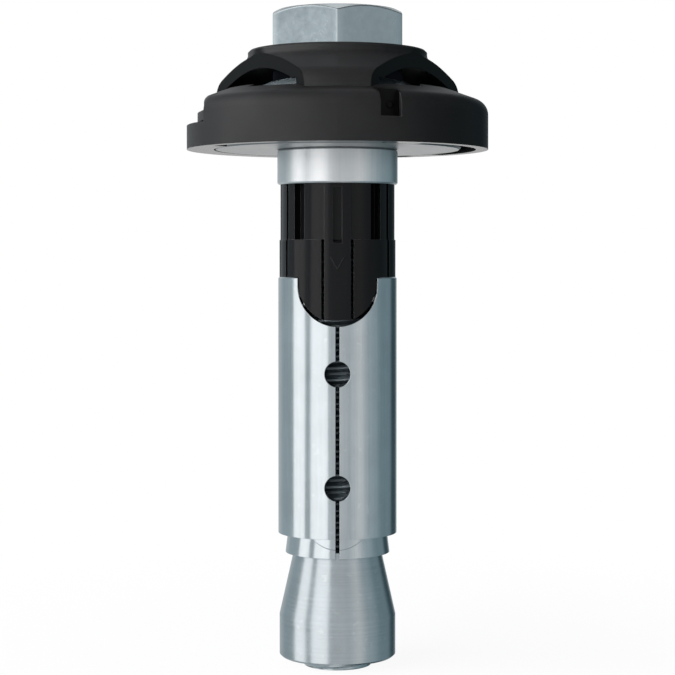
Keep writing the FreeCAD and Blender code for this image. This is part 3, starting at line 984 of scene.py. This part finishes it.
@dataclass
class Shaft:
    """The pieces in the drilled hole, and the small arrows on the crumple sleeve. Lengths in millimetres."""

    shoulder_below_top: float = 8.25
    arrow_tip_below_shoulder: float = 4.3
    arrow_width: float = 2.0
    arrow_height: float = 1.75
    arrow_stroke: float = 0.22
    arrow_top: float = 0.11
    arrow_proud: float = 0.06
    arrow_rise: float = 0.15
    arrow_steps: int = 4

    def build(self, dresser: Dresser) -> None:
        """Dresses the cone, the sleeves and the spacer, and adds the arrows.

        Args:
            dresser: Gives the pieces their finishes.
        """
        dresser.node("cone", CONE_ZINC)
        dresser.node("expansion_sleeve", SLEEVE_ZINC)
        dresser.node("crumple_sleeve", GLOSS_BLACK)
        dresser.node("spacer_ring", SPACER_ZINC)
        for name, azimuth in (("front_arrow", 0.0), ("back_arrow", 180.0)):
            dresser.piece(self.arrow(name, azimuth), "sleeve_stack", GLOSS_BLACK)

    def arrow(self, name: str, azimuth: float) -> bpy.types.Object:
        """Builds the moulded arrow on a tongue, which points to the hole's end.

        Args:
            name: The piece's name.
            azimuth: Where the tongue is.

        Returns:
            The piece.
        """
        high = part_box("crumple_sleeve")[1]
        surface = high.x / MM + self.arrow_proud
        tip_z = high.z / MM - self.shoulder_below_top - self.arrow_tip_below_shoulder
        mesh = bmesh.new()
        for side in (-1, 1):
            end = (side * self.arrow_width / 2, tip_z + self.arrow_height)
            self.add_stroke(mesh, (0.0, tip_z), end, surface, azimuth)
        return mesh_object(name, mesh)

    def add_stroke(
        self,
        mesh: bmesh.types.BMesh,
        start: tuple[float, float],
        end: tuple[float, float],
        surface: float,
        azimuth: float,
    ) -> None:
        """Adds a raised stroke on the round surface between two points.

        Args:
            mesh: The mesh that is added to.
            start: First point, as distance across the tongue and height.
            end: Last point, likewise.
            surface: Radius of the stroke's top.
            azimuth: Where the tongue is.
        """
        length = math.dist(start, end)
        along = tuple((b - a) / length for a, b in zip(start, end))
        across = (-along[1], along[0])
        foot = self.arrow_stroke / 2
        crown = self.arrow_top / 2
        section = ((-foot, -self.arrow_rise), (-crown, 0.0), (crown, 0.0), (foot, -self.arrow_rise))
        rings = []
        for step in range(self.arrow_steps + 1):
            run = length * step / self.arrow_steps
            ring = []
            for offset, lift in section:
                x = start[0] + run * along[0] + offset * across[0]
                z = start[1] + run * along[1] + offset * across[1]
                turn = azimuth + math.degrees(math.asin(x / surface))
                ring.append(metres(polar(surface + lift, turn, z)))
            rings.append(ring)
        rows = skin(mesh, rings)
        mesh.faces.new(rows[0])
        mesh.faces.new(rows[-1])


@dataclass
class Cage:
    """The moulded cage with its washers, and the knob in its sight notch. Lengths in millimetres.

    The knob's profile holds (share of its radius, share of its height) from the wall outwards.
    """

    notch_depth: float = 1.8
    knob_above_rim: float = 5.2
    knob_aside: float = 0.45
    knob_r: float = 0.55
    knob_proud: float = 0.15
    knob_profile: tuple[tuple[float, float], ...] = (
        (1.0, -0.4),
        (1.0, 0.3),
        (0.92, 0.7),
        (0.7, 0.93),
        (0.35, 1.0),
    )
    knob_smooth_angle: float = 50.0
    steps: int = 24

    def build(self, dresser: Dresser) -> None:
        """Dresses the cage and the washers, and adds the knob.

        Args:
            dresser: Gives the pieces their finishes.
        """
        dresser.node("cage", SATIN_BLACK)
        dresser.node("base_washer", WASHER_ZINC)
        dresser.node("spring_washer", SPRING_STEEL)
        dresser.piece(self.knob(), "sleeve_stack", SATIN_BLACK)

    def knob(self) -> bpy.types.Object:
        """Builds the low round knob on the notch's back wall.

        Returns:
            The piece.
        """
        low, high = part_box("cage")
        outwards = Vector(outward(NOTCH_AZIMUTH))
        sideways = Vector(outward(NOTCH_AZIMUTH + 90.0))
        middle = outwards * (high.x / MM - self.notch_depth) + sideways * self.knob_aside
        middle.z = low.z / MM + self.knob_above_rim
        rings = []
        for share, lift in self.knob_profile:
            centre = middle + outwards * (lift * self.knob_proud)
            ring = []
            for step in range(self.steps):
                angle = 2 * math.pi * step / self.steps
                across = share * self.knob_r
                rise = Vector((0, 0, across * math.sin(angle)))
                ring.append(metres(centre + sideways * (across * math.cos(angle)) + rise))
            rings.append(ring)
        mesh = bmesh.new()
        rows = skin(mesh, rings)
        mesh.faces.new(rows[-1])
        mesh.faces.new(rows[0])
        return mesh_object("notch_knob", mesh, self.knob_smooth_angle)


@dataclass(frozen=True)
class LightCard:
    """Soft light panel beside the object. Angles in degrees, lengths in metres.

    A panel that isn't mirrored lights dull surfaces only, and shiny ones don't reflect it.
    """

    name: str
    azimuth: float
    span: float
    low: float
    high: float
    strength: float
    distance: float = 1.2
    mirrored: bool = True
    steps: int = 8

    def build(self) -> None:
        """Builds the panel as a curved glowing sheet round the object, which the camera doesn't see."""
        mesh = bmesh.new()
        rings = []
        for step in range(self.steps + 1):
            turn = self.azimuth + self.span * (step / self.steps - 0.5)
            rings.append([polar(self.distance, turn, self.low), polar(self.distance, turn, self.high)])
        skin(mesh, rings, closed=False)
        panel = mesh_object(self.name, mesh)
        panel.visible_camera = False
        panel.visible_glossy = self.mirrored
        material, graph = new_material(self.name)
        graph.finish(graph.glow(self.strength))
        panel.data.materials.append(material)


@dataclass
class Studio:
    """White studio: floor, surroundings, light panels and the camera. Lengths in metres, angles in degrees.

    The surround holds the grey of the surroundings by azimuth. A rise is where a change of the sky starts
    and ends, as the upward part of the direction. Greys below full_grey turn bluer, down to dim_red and
    dim_blue at black. The focal length is in pixels, and frame_drop is a share of the picture's width.
    """

    camera_place: Point = (0.0, -0.276, 0.0609)
    camera_pitch: float = 1.034
    camera_clip: float = 0.01
    focal_pixels: float = 1840.6
    picture_pixels: float = 675.0
    frame_drop: float = 0.068
    sensor_width: float = 36.0
    overhead: Colour = (0.11, 0.12, 0.13)
    overhead_rise: tuple[float, float] = (0.3, 0.8)
    zenith: Colour = (0.20, 0.215, 0.225)
    zenith_rise: tuple[float, float] = (0.80, 0.93)
    full_grey: float = 0.64
    dim_red: float = 0.53
    dim_blue: float = 1.16
    backdrop_from: float = 0.477
    backdrop_fade: float = 0.01
    floor_reach: float = 3.0
    floor_middle: float = 0.3
    floor_drop: float = 0.02 * MM
    floor_grey: float = 0.05
    floor_glow: float = 0.93
    floor_bounce: float = 0.08
    shadow_fade: tuple[float, float] = (0.03, 0.12)
    surround: tuple[tuple[float, float], ...] = (
        (-180.0, 0.60),
        (-152.0, 0.52),
        (-128.0, 0.42),
        (-60.0, 0.50),
        (12.0, 0.60),
        (22.0, 0.52),
        (45.0, 0.72),
        (62.0, 0.45),
        (78.0, 0.40),
        (94.0, 0.27),
        (122.0, 0.27),
        (132.0, 0.08),
        (150.0, 0.08),
        (166.0, 0.50),
        (180.0, 0.60),
    )
    cards: tuple[LightCard, ...] = (
        LightCard("card_front_left", -36.0, 35.0, -0.9, 0.5, 1.35),
        LightCard("card_left", -80.0, 28.0, -0.9, 0.5, 1.35),
        LightCard("card_high_left", -65.0, 90.0, 0.5, 1.8, 1.6, distance=1.25),
        LightCard("soft_box_left", -60.0, 72.0, -0.2, 0.6, 17.0, distance=1.1, mirrored=False),
    )

    def build(self) -> None:
        """Builds the whole studio."""
        bpy.context.scene.view_settings.view_transform = "Standard"
        self.add_world()
        self.add_floor()
        for card in self.cards:
            card.build()
        self.add_camera()

    def add_world(self) -> None:
        """Sets grey surroundings. The camera sees them white, and metal does where the backdrop stands."""
        world = bpy.data.worlds.new("studio")
        bpy.context.scene.world = world
        world.use_nodes = True
        graph = Graph(world.node_tree)
        east, north, up = graph.parts(graph.node("ShaderNodeTexCoord").outputs["Generated"])
        azimuth = graph.math("ARCTAN2", east, 0.0 - north) / (2 * math.pi) + 0.5
        stops = [(0.5 + turn / 360.0, self.studio_tint(grey)) for turn, grey in self.surround]
        around = graph.node("ShaderNodeValToRGB", {"stops": stops}, {"Fac": azimuth}).outputs["Color"]
        sky = graph.mix(up.ramp(*self.overhead_rise), around, self.overhead)
        sky = graph.mix(up.ramp(*self.zenith_rise), sky, self.zenith)
        light = graph.node("ShaderNodeBackground", None, {"Color": sky, "Strength": 1.0})
        white = graph.node("ShaderNodeBackground", None, {"Color": WHITE, "Strength": 1.0})
        rays = graph.node("ShaderNodeLightPath").outputs
        behind = abs(azimuth - 0.5).ramp(self.backdrop_from, self.backdrop_from + self.backdrop_fade)
        seen = Channel(graph, rays["Is Camera Ray"]).at_least(Channel(graph, rays["Is Transmission Ray"]))
        seen = seen.at_least(behind * Channel(graph, rays["Is Glossy Ray"]))
        both = graph.mix_shader(seen, light.outputs["Background"], white.outputs["Background"])
        graph.finish(both, "ShaderNodeOutputWorld")

    def studio_tint(self, grey: float) -> Colour:
        """Colour of a part of the surroundings, bluer where they are dim.

        Args:
            grey: How light the part is.

        Returns:
            Its colour.
        """
        share = min(grey / self.full_grey, 1.0)
        red = self.dim_red + (1.0 - self.dim_red) * share
        blue = self.dim_blue + (1.0 - self.dim_blue) * share
        return grey * red, grey, grey * blue

    def add_floor(self) -> None:
        """Adds the pale floor, which keeps a soft shadow near the object and fades to white further out."""
        mesh = bmesh.new()
        ticks = (-self.floor_reach, -self.floor_middle, 0.0, self.floor_middle, self.floor_reach)
        skin(mesh, [[(x, y, 0.0) for x in ticks] for y in ticks], closed=False)
        floor = mesh_object("floor", mesh)
        floor.location.z = -self.floor_drop
        floor.visible_glossy = False
        material, graph = new_material("floor_paper")
        distance = graph.vector_number("LENGTH", graph.place())
        paper = graph.paper(self.floor_grey)
        near = graph.node("ShaderNodeAddShader", None, {0: paper, 1: graph.glow(self.floor_glow)})
        seen = graph.mix_shader(distance.ramp(*self.shadow_fade), near.outputs["Shader"], graph.glow(1.0))
        is_seen = graph.node("ShaderNodeLightPath").outputs["Is Camera Ray"]
        graph.finish(graph.mix_shader(is_seen, graph.paper(self.floor_bounce), seen))
        floor.data.materials.append(material)

    def add_camera(self) -> None:
        """Adds the camera in front of the object and a little above its middle, nearly level."""
        data = bpy.data.cameras.new("camera")
        camera = bpy.data.objects.new("camera", data)
        bpy.context.scene.collection.objects.link(camera)
        bpy.context.scene.camera = camera
        camera.location = self.camera_place
        camera.rotation_euler = (math.radians(90.0 - self.camera_pitch), 0.0, 0.0)
        data.sensor_width = self.sensor_width
        data.lens = self.focal_pixels * self.sensor_width / self.picture_pixels
        data.shift_y = -self.frame_drop
        data.clip_start = self.camera_clip


def main() -> None:
    """Dresses the anchor from the bolt outwards and sets up the studio."""
    logging.basicConfig(level=logging.INFO, format="%(name)s: %(message)s")
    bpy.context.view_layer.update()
    dresser = Dresser()
    Bolt().build(dresser)
    Shaft().build(dresser)
    Cage().build(dresser)
    Studio().build()


if __name__ == "__main__":
    main()
